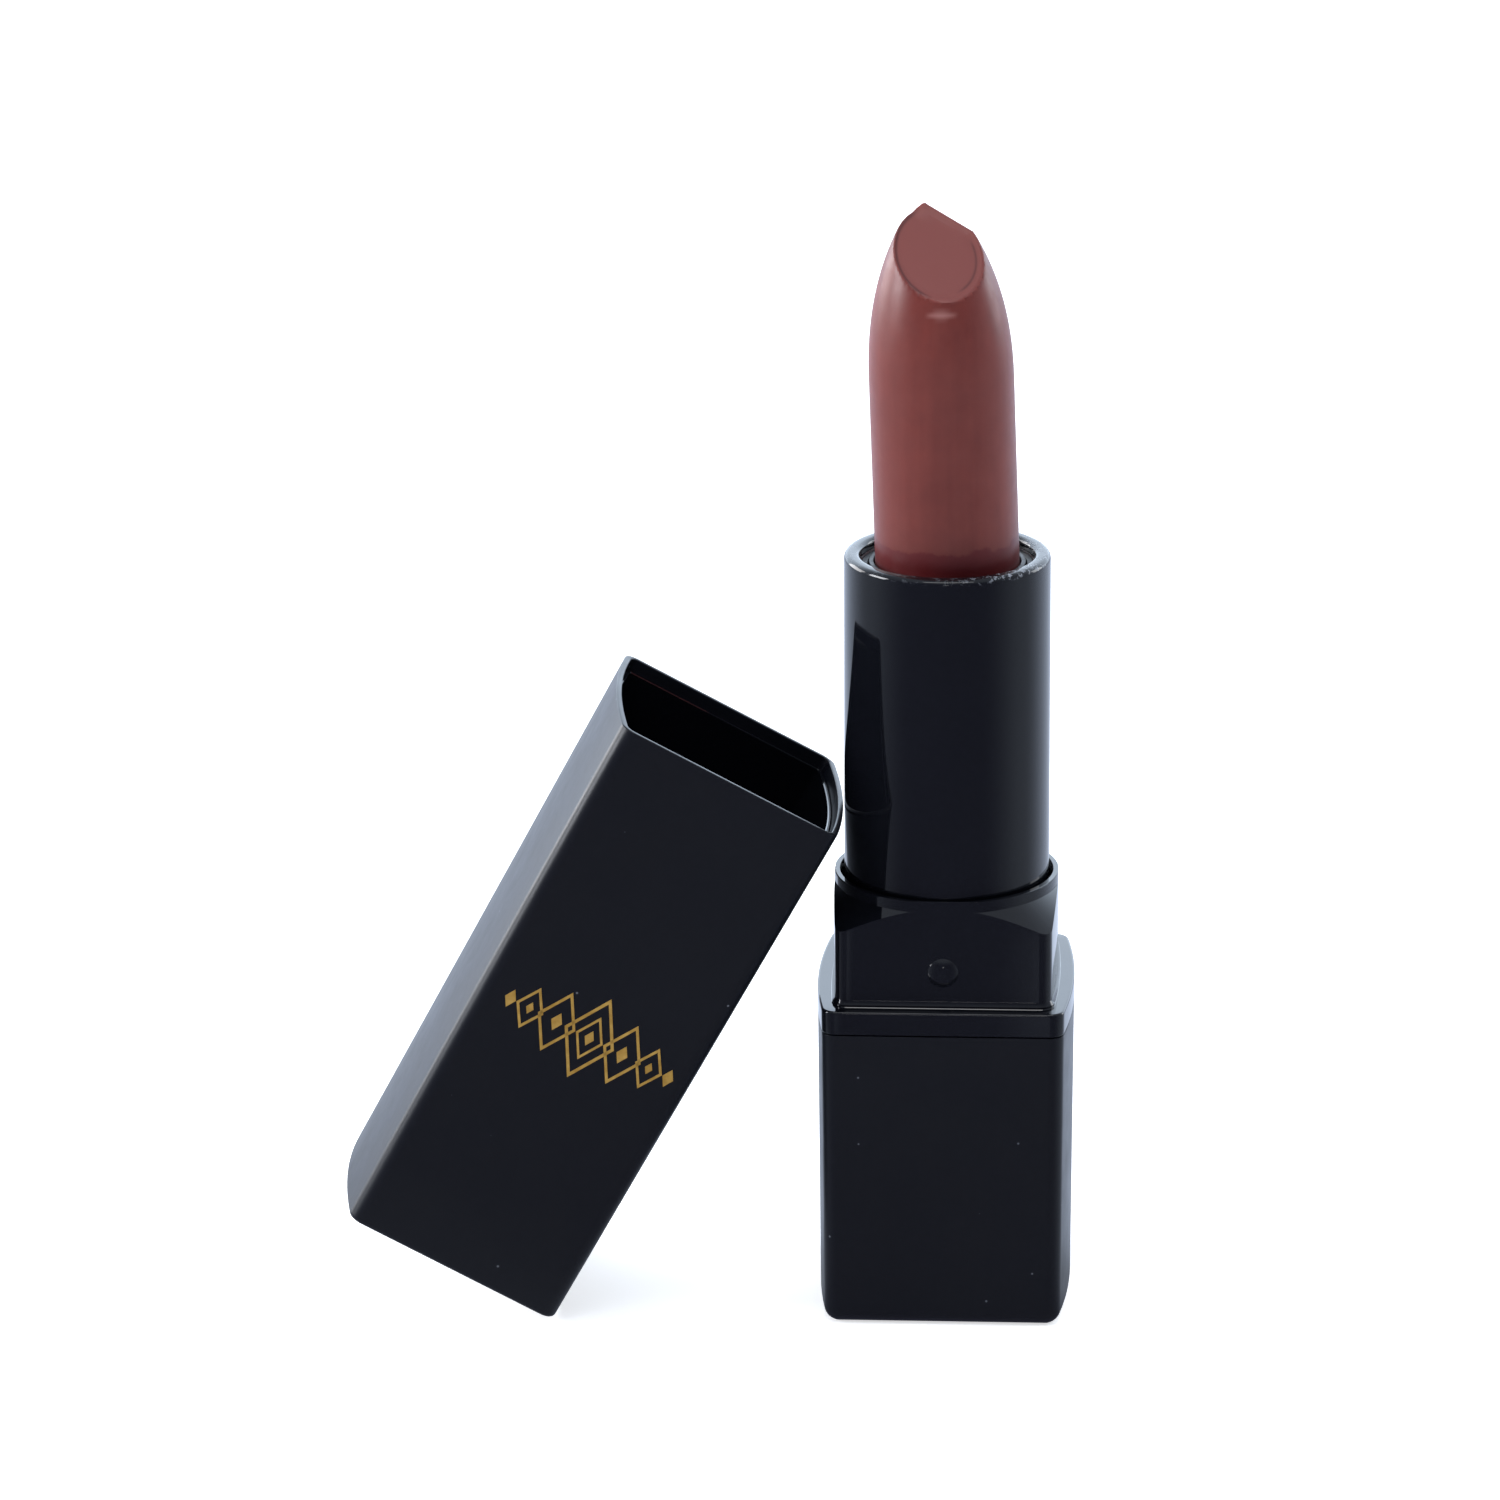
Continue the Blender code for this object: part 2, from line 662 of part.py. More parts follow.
def build_cap_shell():
    mouth_edge = CAP_WALL / 4
    shell = lofted(
        "cap_shell",
        [
            *[cap_ring(inset, height) for inset, height in end_edge(CAP_END_RADIUS)],
            cap_ring(0, CAP_LENGTH - mouth_edge),
            cap_ring(mouth_edge, CAP_LENGTH),
            cap_ring(CAP_WALL - mouth_edge, CAP_LENGTH),
            cap_ring(CAP_WALL, CAP_LENGTH - mouth_edge),
            cap_ring(CAP_WALL, CAP_END_WALL),
        ],
    )
    shell.data.materials.append(satin_black("satin_black_cap"))
    return shell


def build_cap_liner():
    outer = CAP_WALL + SNUG
    inner = outer + LINER_WALL
    top = CAP_LENGTH - LINER_SETBACK
    base = CAP_END_WALL + SEAT
    liner = lofted(
        "cap_liner",
        [
            cap_ring(outer, base),
            cap_ring(outer, top),
            cap_ring(inner, top),
            cap_ring(inner, base + LINER_END_WALL),
        ],
    )
    height = CAP_LENGTH - SNAP_HEIGHT
    for name, side in FRONT_AND_BACK:
        start = (0, side * HALF_DEPTH / 2, height)
        end = (0, side * (HALF_DEPTH + MM), height)
        window = peg(f"snap_window_{name}", SNAP_RADIUS + SNAP_WINDOW_SPARE, start, end)
        combine(liner, window, "DIFFERENCE")
        window.parent = liner
    liner.data.materials.append(gloss_black("gloss_black_liner"))
    return liner


def build():
    clear_scene()
    build_base_shell()
    build_base_label()
    build_base_weight()
    build_base_core()
    build_shoulder_collar()
    build_guide_tube()
    build_drag_washer()
    build_spiral_sleeve()
    build_tube_shell()
    build_carrier_cup()
    build_bullet()
    lean_on_tube([build_cap_shell(), build_cap_liner()])


build()
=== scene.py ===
import math

import bmesh
import bpy
from mathutils import Matrix, Vector


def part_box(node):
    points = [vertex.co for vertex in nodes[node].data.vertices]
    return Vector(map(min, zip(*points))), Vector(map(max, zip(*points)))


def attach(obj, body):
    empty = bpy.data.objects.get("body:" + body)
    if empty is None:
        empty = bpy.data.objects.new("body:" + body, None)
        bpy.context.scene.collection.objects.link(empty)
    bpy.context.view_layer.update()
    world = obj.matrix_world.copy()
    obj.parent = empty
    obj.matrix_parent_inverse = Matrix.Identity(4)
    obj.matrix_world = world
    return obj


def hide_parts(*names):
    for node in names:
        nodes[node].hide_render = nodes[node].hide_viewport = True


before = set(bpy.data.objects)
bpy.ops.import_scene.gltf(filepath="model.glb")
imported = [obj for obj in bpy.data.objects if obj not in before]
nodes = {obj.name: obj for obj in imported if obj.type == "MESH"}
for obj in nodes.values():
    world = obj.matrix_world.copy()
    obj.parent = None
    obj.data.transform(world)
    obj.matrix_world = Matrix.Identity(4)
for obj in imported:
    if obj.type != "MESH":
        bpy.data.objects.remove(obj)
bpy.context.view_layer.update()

mm = 0.001
scene = bpy.context.scene
scene.view_settings.view_transform = "Standard"
scene.view_settings.look = "None"


# camera

cameraLook = {
    "location": (19.8746, -622.6248, 249.5764),
    "aim": (-16.31, 0.0, 46.96),
    "lens": 190.09,
    "roll": 0.334,             # degrees, right side down
}


def makeCamera(look):
    data = bpy.data.cameras.new("studioCamera")
    data.lens = look["lens"]
    data.sensor_width = 36
    data.clip_start, data.clip_end = 0.05, 20
    camera = bpy.data.objects.new("studioCamera", data)
    scene.collection.objects.link(camera)
    place = Vector(look["location"]) * mm
    turn = (Vector(look["aim"]) * mm - place).to_track_quat("-Z", "Y")
    roll = Matrix.Rotation(math.radians(-look["roll"]), 3, "Z").to_quaternion()
    camera.rotation_mode = "QUATERNION"
    camera.location = place
    camera.rotation_quaternion = turn @ roll
    scene.camera = camera


makeCamera(cameraLook)
print("camera placed")


# material building

def startMaterial(name):
    material = bpy.data.materials.new(name)
    material.use_nodes = True
    tree = material.node_tree
    shader = tree.nodes["Principled BSDF"]
    where = tree.nodes.new("ShaderNodeTexCoord")
    return material, tree, shader, where.outputs["Object"]


def noise(tree, where, scale, detail=2.0, roughness=0.5, stretch=None):
    if stretch:
        mapping = tree.nodes.new("ShaderNodeMapping")
        mapping.inputs["Scale"].default_value = stretch
        tree.links.new(where, mapping.inputs["Vector"])
        where = mapping.outputs["Vector"]
    texture = tree.nodes.new("ShaderNodeTexNoise")
    texture.inputs["Scale"].default_value = scale
    texture.inputs["Detail"].default_value = detail
    texture.inputs["Roughness"].default_value = roughness
    tree.links.new(where, texture.inputs["Vector"])
    return texture.outputs["Fac"]


def ranged(tree, value, low, high, newLow, newHigh, smooth=False):
    node = tree.nodes.new("ShaderNodeMapRange")
    node.interpolation_type = "SMOOTHSTEP" if smooth else "LINEAR"
    for name, number in zip(("From Min", "From Max", "To Min", "To Max"), (low, high, newLow, newHigh)):
        node.inputs[name].default_value = number
    tree.links.new(value, node.inputs["Value"])
    return node.outputs["Result"]


def arithmetic(tree, operation, one, other):
    node = tree.nodes.new("ShaderNodeMath")
    node.operation = operation
    for socket, value in zip(node.inputs, (one, other)):
        if isinstance(value, (int, float)):
            socket.default_value = value
        else:
            tree.links.new(value, socket)
    return node.outputs["Value"]


def blended(tree, share, one, other, mode="MIX"):
    node = tree.nodes.new("ShaderNodeMix")
    node.data_type = "RGBA"
    node.blend_type = mode
    for name, value in (("Factor_Float", share), ("A_Color", one), ("B_Color", other)):
        socket = next(s for s in node.inputs if s.identifier == name)
        if isinstance(value, (int, float)):
            socket.default_value = value
        elif isinstance(value, tuple):
            socket.default_value = (*value, 1.0)
        else:
            tree.links.new(value, socket)
    return next(s for s in node.outputs if s.identifier == "Result_Color")


def bumped(tree, shader, layers):
    # each layer is (height, strength, depth in metres), the coarsest first
    normal = None
    for height, strength, depth in layers:
        bump = tree.nodes.new("ShaderNodeBump")
        bump.inputs["Strength"].default_value = strength
        bump.inputs["Distance"].default_value = depth
        tree.links.new(height, bump.inputs["Height"])
        if normal:
            tree.links.new(normal, bump.inputs["Normal"])
        normal = bump.outputs["Normal"]
    tree.links.new(normal, shader.inputs["Normal"])


def axis(tree, where, letter):
    node = tree.nodes.new("ShaderNodeSeparateXYZ")
    tree.links.new(where, node.inputs["Vector"])
    return node.outputs[letter]


def specks(tree, where, scale, size, share):
    # tiny dust grains: the middles of some cells of a scattered pattern
    cells = tree.nodes.new("ShaderNodeTexVoronoi")
    cells.inputs["Scale"].default_value = scale
    tree.links.new(where, cells.inputs["Vector"])
    grain = ranged(tree, cells.outputs["Distance"], size * 0.6, size, 1.0, 0.0)
    chosen = ranged(tree, axis(tree, cells.outputs["Color"], "X"), share - 0.01, share, 1.0, 0.0)
    return arithmetic(tree, "MULTIPLY", grain, chosen)


# finishes

satinBlack = {
    "colour": (0.0042, 0.0050, 0.0085),
    "paler": (0.0058, 0.0068, 0.0105),
    "dust": (0.10, 0.11, 0.13),
    "dustGrains": (360, 0.042, 0.75),      # how closely they lie, how big they are, how many places have one
    "roughness": (0.30, 0.38),
    "ior": 1.42,
}


def makeSatinBlack(name, finish):
    material, tree, shader, where = startMaterial(name)
    clouds = noise(tree, where, 90, 3)
    colour = blended(tree, clouds, finish["colour"], finish["paler"])
    dust = specks(tree, where, *finish["dustGrains"])
    tree.links.new(blended(tree, dust, colour, finish["dust"]), shader.inputs["Base Color"])
    smudges = noise(tree, where, 240, 4, 0.6)
    rough = ranged(tree, smudges, 0.3, 0.7, *finish["roughness"])
    tree.links.new(rough, shader.inputs["Roughness"])
    shader.inputs["IOR"].default_value = finish["ior"]
    bumped(tree, shader, [
        (noise(tree, where, 70, 1), 0.10, 0.00012),
        (noise(tree, where, 5200, 2), 0.10, 0.00001),
    ])
    return material


glossBlack = {
    "colour": (0.0030, 0.0034, 0.0052),
    "paler": (0.0042, 0.0047, 0.0068),
    "roughness": (0.045, 0.085),
    "ior": 1.50,
    "peel": 0.06,
}


def makeGlossBlack(name, finish, scuffs=None):
    material, tree, shader, where = startMaterial(name)
    clouds = noise(tree, where, 120, 3)
    colour = blended(tree, clouds, finish["colour"], finish["paler"])
    rough = ranged(tree, noise(tree, where, 420, 4, 0.6), 0.35, 0.7, *finish["roughness"])
    height = noise(tree, where, 210, 1)
    layers = [(height, finish["peel"], 0.00012)]
    if scuffs:
        # small knocks along the rim, thickest on one side
        near = ranged(tree, axis(tree, where, "Z"), scuffs["low"], scuffs["high"], 0.0, 1.0, True)
        side = ranged(tree, axis(tree, where, "X"), scuffs["left"], scuffs["right"], 0.15, 1.0, True)
        grains = ranged(tree, noise(tree, where, scuffs["grain"], 3, 0.7), *scuffs["worn"], 0.0, 1.0)
        worn = arithmetic(tree, "MULTIPLY", arithmetic(tree, "MULTIPLY", near, side), grains)
        colour = blended(tree, worn, colour, scuffs["colour"])
        rough = arithmetic(tree, "ADD", rough, arithmetic(tree, "MULTIPLY", worn, 0.35))
        layers.append((worn, 0.5, -0.00003))
    tree.links.new(colour, shader.inputs["Base Color"])
    tree.links.new(rough, shader.inputs["Roughness"])
    shader.inputs["IOR"].default_value = finish["ior"]
    bumped(tree, shader, layers)
    return material


waxFinish = {
    "colour": (0.172, 0.031, 0.023),
    "deeper": (0.142, 0.024, 0.018),
    "face": (0.232, 0.050, 0.040),
    # painted highlight under the face
    "glint": (0.330, 0.135, 0.120),
    # residue and painted shade at the foot
    "foot": (0.122, 0.011, 0.012),
    # painted shade along the face's rim
    "paintedRimShade": (0.120, 0.022, 0.018),
    "roughness": (0.33, 0.42),
    "ior": 1.47,
    "scatter": 0.05,
    "scatterSize": 0.0008,
    "sheen": 0.08,
    "sheenRoughness": 0.45,
    "sheenTint": (0.95, 0.62, 0.60),
    "residueAndShadeBand": (66.95, 67.15),    # over these heights the band of residue and painted shade at the foot ends, before its waves
    "footWaves": 0.0022,
}


def makeWax(name, finish):
    material, tree, shader, where = startMaterial(name)
    mottle = noise(tree, where, 420, 3, 0.6)
    streaks = noise(tree, where, 700, 3, 0.6, (1.0, 1.0, 0.06))
    tone = arithmetic(tree, "MULTIPLY", arithmetic(tree, "ADD", mottle, streaks), 0.5)
    colour = blended(tree, ranged(tree, tone, 0.35, 0.65, 0.0, 1.0), finish["deeper"], finish["colour"])
    # the attribute marks the face in Red, painted shade along its rim in Green and a painted highlight under it in
    # Blue
    faceShadeAndGlint = tree.nodes.new("ShaderNodeAttribute")
    faceShadeAndGlint.attribute_name = "waxFaceShadeAndGlint"
    channels = tree.nodes.new("ShaderNodeSeparateColor")
    tree.links.new(faceShadeAndGlint.outputs["Color"], channels.inputs["Color"])
    colour = blended(tree, channels.outputs["Red"], colour, finish["face"])
    # painted highlight under the face, from the Blue channel
    colour = blended(tree, channels.outputs["Blue"], colour, finish["glint"])
    # the band at the foot, darkened partly by residue from the cup and partly as painted shade
    wavy = arithmetic(tree, "MULTIPLY", noise(tree, where, 330, 4, 0.6), finish["footWaves"])
    height = arithmetic(tree, "ADD", axis(tree, where, "Z"), wavy)
    low, high = finish["residueAndShadeBand"]
    foot = ranged(tree, height, low * mm, high * mm, 1.0, 0.0)
    colour = blended(tree, foot, colour, finish["foot"])
    # painted shade along the face's rim, from the Green channel
    colour = blended(tree, channels.outputs["Green"], colour, finish["paintedRimShade"])
    tree.links.new(colour, shader.inputs["Base Color"])
    rough = ranged(tree, noise(tree, where, 900, 4, 0.6), 0.3, 0.7, *finish["roughness"])
    tree.links.new(rough, shader.inputs["Roughness"])
    shader.inputs["IOR"].default_value = finish["ior"]
    shader.inputs["Subsurface Weight"].default_value = finish["scatter"]
    shader.inputs["Subsurface Scale"].default_value = finish["scatterSize"]
    shader.inputs["Subsurface Radius"].default_value = (1.0, 0.35, 0.3)
    shader.inputs["Sheen Weight"].default_value = finish["sheen"]
    shader.inputs["Sheen Roughness"].default_value = finish["sheenRoughness"]
    shader.inputs["Sheen Tint"].default_value = (*finish["sheenTint"], 1)
    bumped(tree, shader, [
        (noise(tree, where, 140, 2), 0.16, 0.00020),
        (noise(tree, where, 620, 3, 0.6, (1.0, 1.0, 0.12)), 0.08, 0.00004),
        (noise(tree, where, 3800, 2), 0.10, 0.00001),
    ])
    return material


goldFinish = {
    "colour": (0.62, 0.38, 0.085),
    "deeper": (0.45, 0.25, 0.045),
    "metallic": 0.45,
    "roughness": (0.28, 0.45),
}


def makeGold(name, finish):
    material, tree, shader, where = startMaterial(name)
    patches = ranged(tree, noise(tree, where, 900, 4, 0.6), 0.35, 0.65, 0.0, 1.0)
    tree.links.new(blended(tree, patches, finish["deeper"], finish["colour"]), shader.inputs["Base Color"])
    tree.links.new(ranged(tree, patches, 0, 1, *finish["roughness"]), shader.inputs["Roughness"])
    shader.inputs["Metallic"].default_value = finish["metallic"]
    bumped(tree, shader, [(noise(tree, where, 5000, 3), 0.15, 0.00001)])
    return material


plainFinishes = {
    "innerBlack": {
        "colour": (0.010, 0.010, 0.012), "paler": (0.018, 0.018, 0.020), "roughness": (0.35, 0.55), "grain": 1500,
    },
    "acetal": {
        "colour": (0.30, 0.30, 0.31), "paler": (0.38, 0.38, 0.39), "roughness": (0.30, 0.45), "grain": 900,
    },
    "felt": {
        "colour": (0.60, 0.59, 0.55), "paler": (0.80, 0.79, 0.75), "roughness": (0.9, 1.0), "grain": 6000,
    },
}


def makePlain(name, finish):
    material, tree, shader, where = startMaterial(name)
    grain = noise(tree, where, finish["grain"], 4, 0.6)
    tree.links.new(blended(tree, grain, finish["colour"], finish["paler"]), shader.inputs["Base Color"])
    tree.links.new(ranged(tree, grain, 0.3, 0.7, *finish["roughness"]), shader.inputs["Roughness"])
    bumped(tree, shader, [(grain, 0.25, 0.00002)])
    return material


zincFinish = {
    "colour": (0.45, 0.46, 0.48),
    "paler": (0.62, 0.63, 0.65),
    "metallic": 1.0,
    "roughness": (0.25, 0.45),
    "spangle": 700,
}


def makeZinc(name, finish):
    material, tree, shader, where = startMaterial(name)
    cells = tree.nodes.new("ShaderNodeTexVoronoi")
    cells.inputs["Scale"].default_value = finish["spangle"]
    tree.links.new(where, cells.inputs["Vector"])
    spangle = axis(tree, cells.outputs["Color"], "X")
    tree.links.new(blended(tree, spangle, finish["colour"], finish["paler"]), shader.inputs["Base Color"])
    tree.links.new(ranged(tree, spangle, 0, 1, *finish["roughness"]), shader.inputs["Roughness"])
    shader.inputs["Metallic"].default_value = finish["metallic"]
    bumped(tree, shader, [(noise(tree, where, 2500, 3), 0.2, 0.00002)])
    return material


labelFinish = {
    "colour": (0.52, 0.52, 0.53),
    "paler": (0.70, 0.70, 0.71),
    "metallic": 0.7,
    "roughness": (0.28, 0.42),
}


def makeLabelPaper(name, finish):
    material, tree, shader, where = startMaterial(name)
    brushed = noise(tree, where, 900, 4, 0.6, (1.0, 0.04, 1.0))
    tree.links.new(blended(tree, brushed, finish["colour"], finish["paler"]), shader.inputs["Base Color"])
    tree.links.new(ranged(tree, brushed, 0.3, 0.7, *finish["roughness"]), shader.inputs["Roughness"])
    shader.inputs["Metallic"].default_value = finish["metallic"]
    bumped(tree, shader, [(brushed, 0.1, 0.00001)])
    return material


print("finishes ready")


# outlines and walls

caseShape = {
    "halfWidth": 9.86,         # at the corners
    "halfDepth": 10.24,
    "bulge": 0.82,             # of the left and right sides
    "edge": 1.05,
    "leastEdge": 0.12,
    "draft": 0.0073,
    "cornerSteps": 8,
    "sideCuts": 27,
}


def outline(bm, halfWidth, halfDepth, bulge, edge, height):
    # four corners joined into a face, its corners rounded, then its two sides pushed out
    corners = [bm.verts.new((x * halfWidth, y * halfDepth, height)) for x, y in ((1, -1), (1, 1), (-1, 1), (-1, -1))]
    bm.faces.new(corners)
    bmesh.ops.bevel(
        bm, geom=corners, offset=edge, offset_type="OFFSET", segments=caseShape["cornerSteps"],
        profile=0.5, affect="VERTICES", material=-1, clamp_overlap=False,
    )
    face = bm.faces[:][0]
    long = [e for e in face.edges if e.calc_length() > edge + 2]
    bmesh.ops.delete(bm, geom=[face], context="FACES_ONLY")
    divided = bmesh.ops.subdivide_edges(bm, edges=long, cuts=caseShape["sideCuts"])
    start = next(item for item in divided["geom_inner"] if isinstance(item, bmesh.types.BMVert))
    loop = [start.link_edges[0]]
    vert = loop[0].other_vert(start)
    while vert != start:
        vert.co.x += math.copysign(bulge, vert.co.x) * (1 - (vert.co.y / halfDepth) ** 2)
        loop.append(next(e for e in vert.link_edges if e != loop[-1]))
        vert = loop[-1].other_vert(vert)
    start.co.x += math.copysign(bulge, start.co.x) * (1 - (start.co.y / halfDepth) ** 2)
    return loop


def caseOutline(bm, inset, height, narrowing=0.0):
    shape = caseShape
    shrink = inset + narrowing
    edge = max(shape["edge"] - inset, shape["leastEdge"])
    return outline(bm, shape["halfWidth"] - shrink, shape["halfDepth"] - shrink, shape["bulge"], edge, height)


def skin(bm, loops):
    # a band of faces between each loop and the next; two loops at one height are parted while they are joined
    parting = 9
    for lower, upper in zip(loops[:-1], loops[1:]):
        low = {v for e in lower for v in e.verts}
        high = {v for e in upper for v in e.verts}
        level = abs(next(iter(low)).co.z - next(iter(high)).co.z) < 0.01
        if level:
            bmesh.ops.translate(bm, vec=(0, 0, parting), verts=list(high))
        bmesh.ops.bridge_loops(bm, edges=lower + upper)
        if level:
            bmesh.ops.translate(bm, vec=(0, 0, -parting), verts=list(high))


def close(bm, loop):
    bmesh.ops.edgeloop_fill(bm, edges=loop)


def quarter(steps):
    # across and along shares of a rounded edge
    return [(1 - math.cos(a), math.sin(a)) for a in (math.pi / 2 * i / steps for i in range(steps + 1))]


def spun(bm, corners, steps):
    # corners are (radius, height, rounding): joined into a face, rounded, then its edges spun
    verts = [bm.verts.new((radius, 0, height)) for radius, height, _ in corners]
    bm.faces.new(verts)
    for vert, (_, _, rounding) in zip(verts, corners):
        if rounding:
            bmesh.ops.bevel(
                bm, geom=[vert], offset=rounding, offset_type="OFFSET", segments=5, profile=0.5,
                affect="VERTICES", material=-1, clamp_overlap=False,
            )
    bmesh.ops.delete(bm, geom=bm.faces[:], context="FACES_ONLY")
    bmesh.ops.spin(
        bm, geom=bm.verts[:] + bm.edges[:], cent=(0, 0, 0), axis=(0, 0, 1),
        angle=2 * math.pi, steps=steps, use_merge=True,
    )


def finishPiece(bm, name, material, body, replaced=(), place=None, sharp=38):
    # works in millimetres until here, then takes its place in metres
    bmesh.ops.remove_doubles(bm, verts=bm.verts, dist=1e-4)
    bmesh.ops.recalc_face_normals(bm, faces=bm.faces)
    bmesh.ops.scale(bm, vec=(mm, mm, mm), verts=bm.verts)
    if place:
        bmesh.ops.transform(bm, matrix=place, verts=bm.verts)
    mesh = bpy.data.meshes.new(name)
    bm.to_mesh(mesh)
    bm.free()
    mesh.shade_smooth()
    mesh.set_sharp_from_angle(angle=math.radians(sharp))
    mesh.materials.append(material)
    piece = bpy.data.objects.new(name, mesh)
    scene.collection.objects.link(piece)
    even = piece.modifiers.new("evenShading", "WEIGHTED_NORMAL")
    even.keep_sharp = True
    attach(piece, body)
    if replaced:
        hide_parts(*replaced)
    print(name, len(mesh.polygons), "faces")
    return piece


# base

baseShape = {
    "foot": 1.20,
    "wall": 0.90,
    "floor": 1.10,
    "labelInset": 3.60,
    "labelRecess": 0.25,
    "mouthEdge": 0.07,
    "footSteps": 7,
}
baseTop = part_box("base_shell")[1].z / mm
bandBase = baseTop + 0.10      # the collar's band, over a fine parting line
ledgeTop = bandBase + 2.00


def baseNarrowing(height):
    return caseShape["draft"] * (ledgeTop - height)


def makeBase(shape):
    bm = bmesh.new()
    edge = shape["mouthEdge"]
    foot = shape["foot"]
    levels = [(shape["labelInset"], shape["labelRecess"], 0), (shape["labelInset"], 0, 0)]
    rounding = [(foot * across, foot * (1 - along)) for across, along in reversed(quarter(shape["footSteps"]))]
    levels += [(across, height, 1) for across, height in rounding]
    levels += [(0, baseTop - edge, 1), (edge * 0.3, baseTop - edge * 0.3, 1), (edge, baseTop, 1)]
    levels += [(shape["wall"], baseTop, 1), (shape["wall"], shape["floor"], 1)]
    loops = [caseOutline(bm, inset, height, baseNarrowing(height) * drafted) for inset, height, drafted in levels]
    skin(bm, loops)
    close(bm, loops[0])
    close(bm, loops[-1])
    material = makeSatinBlack("satinBlackBase", satinBlack)
    return finishPiece(bm, "caseBase", material, "base", ["base_shell"])


makeBase(baseShape)


# glossy collar: ledge, shoulder with its fallen roof, and the thin ring round the tube

collarShape = {
    "skirtBase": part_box("shoulder_collar")[0].z / mm,
    "skirtInset": 0.95,
    "bandEdge": 0.07,
    "ledgeEdge": 0.22,
    "ledgeSteps": 8,
    "halfWidth": 8.87,
    "halfDepth": 8.92,
    "edge": 1.00,
    "bulge": 0.40,
    "plinth": (0.20, 0.26),    # how far the step at the shoulder's foot stands out, and its height
    "top": 36.05,
    "roofSlope": 0.65,
    "ringRadius": 9.32,
    "ringLip": 8.86,
    "ringTop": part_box("shoulder_collar")[1].z / mm,
    "ringEdge": 0.08,
    "boreFrom": 0.55,          # under the ring's top, where its lip has narrowed to the bore
    "bore": 8.60,
    "beadBore": 8.78,
    "beadBoreTop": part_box("tube_shell")[0].z / mm + 0.80,
    "archEdge": 0.10,
    "archSteps": 6,
    "snapHeight": 30.75,
    "snapRadius": 1.25,
    "snapRise": 0.48,
}


def makeCollar(shape):
    bm = bmesh.new()

    def shoulder(grow, height):
        return outline(
            bm, shape["halfWidth"] + grow, shape["halfDepth"] + grow, shape["bulge"], shape["edge"] + grow, height,
        )

    def ring(radius, height, trim=None):
        # the shoulder's outline drawn onto a circle, which keeps its points in line
        loop = shoulder(-trim if trim else 0, height)
        for vert in {v for e in loop for v in e.verts}:
            flat = Vector((vert.co.x, vert.co.y))
            if trim is None or flat.length > radius:
                flat = flat.normalized() * radius
            vert.co = (flat.x, flat.y, height)
        return loop

    edge = shape["ledgeEdge"]
    stepOut, stepUp = shape["plinth"]
    soft = shape["bandEdge"]
    ringRadius, ringTop, rim, lip = shape["ringRadius"], shape["ringTop"], shape["ringEdge"], shape["ringLip"]
    level = 0.0001     # enough trim to leave the flats inside the circle alone
    loops = [
        ring(shape["beadBore"], shape["skirtBase"]),
        caseOutline(bm, shape["skirtInset"], shape["skirtBase"], baseNarrowing(shape["skirtBase"])),
        caseOutline(bm, shape["skirtInset"], bandBase, baseNarrowing(bandBase)),
        caseOutline(bm, soft, bandBase, baseNarrowing(bandBase)),
        caseOutline(bm, soft * 0.3, bandBase + soft * 0.3, baseNarrowing(bandBase)),
        caseOutline(bm, 0, bandBase + soft, baseNarrowing(bandBase)),
    ]
    for across, along in quarter(shape["ledgeSteps"]):
        loops.append(caseOutline(bm, edge * across, ledgeTop - edge + edge * along))
    loops += [
        shoulder(stepOut + 0.05, ledgeTop),
        shoulder(stepOut, ledgeTop + 0.05),
        shoulder(stepOut - 0.01, ledgeTop + stepUp - 0.04),
        shoulder(stepOut - 0.05, ledgeTop + stepUp + 0.02),
        shoulder(0.03, ledgeTop + stepUp + 0.22),
        shoulder(0, ledgeTop + stepUp + 0.30),
    ]
    arch = shoulder(0, shape["top"])
    for vert in {v for e in arch for v in e.verts}:
        beyond = math.hypot(vert.co.x, vert.co.y) - ringRadius
        vert.co.z -= shape["roofSlope"] * max(beyond, 0)
    loops.append(arch)
    loops += [
        ring(ringRadius, shape["top"], level),
        ring(ringRadius, ringTop - rim, level),
        ring(ringRadius - 0.02, ringTop - 0.02, 0.008),
        ring(ringRadius - rim, ringTop, 0.02),
        ring(lip + 0.02, ringTop),
        ring(lip, ringTop - 0.02),
        ring(shape["bore"], ringTop - shape["boreFrom"]),
        ring(shape["bore"], shape["beadBoreTop"]),
        ring(shape["beadBore"], shape["beadBoreTop"]),
    ]
    skin(bm, loops + [loops[0]])
    bmesh.ops.remove_doubles(bm, verts=bm.verts, dist=1e-4)
    # soften the arched edge between the shoulder's flats and its roof
    wall = [e for e in arch if e.is_valid and len(e.link_faces) == 2 and e.calc_face_angle(0) > 0.3]
    bmesh.ops.bevel(
        bm, geom=wall, offset=shape["archEdge"], offset_type="OFFSET", segments=shape["archSteps"], profile=0.5,
        affect="EDGES", material=-1, clamp_overlap=True,
    )
    for side in (-1, 1):
        addSnap(bm, shape, side)
    material = makeGlossBlack("glossBlackCollar", glossBlack)
    return finishPiece(bm, "collar", material, "base", ["shoulder_collar"], sharp=16)


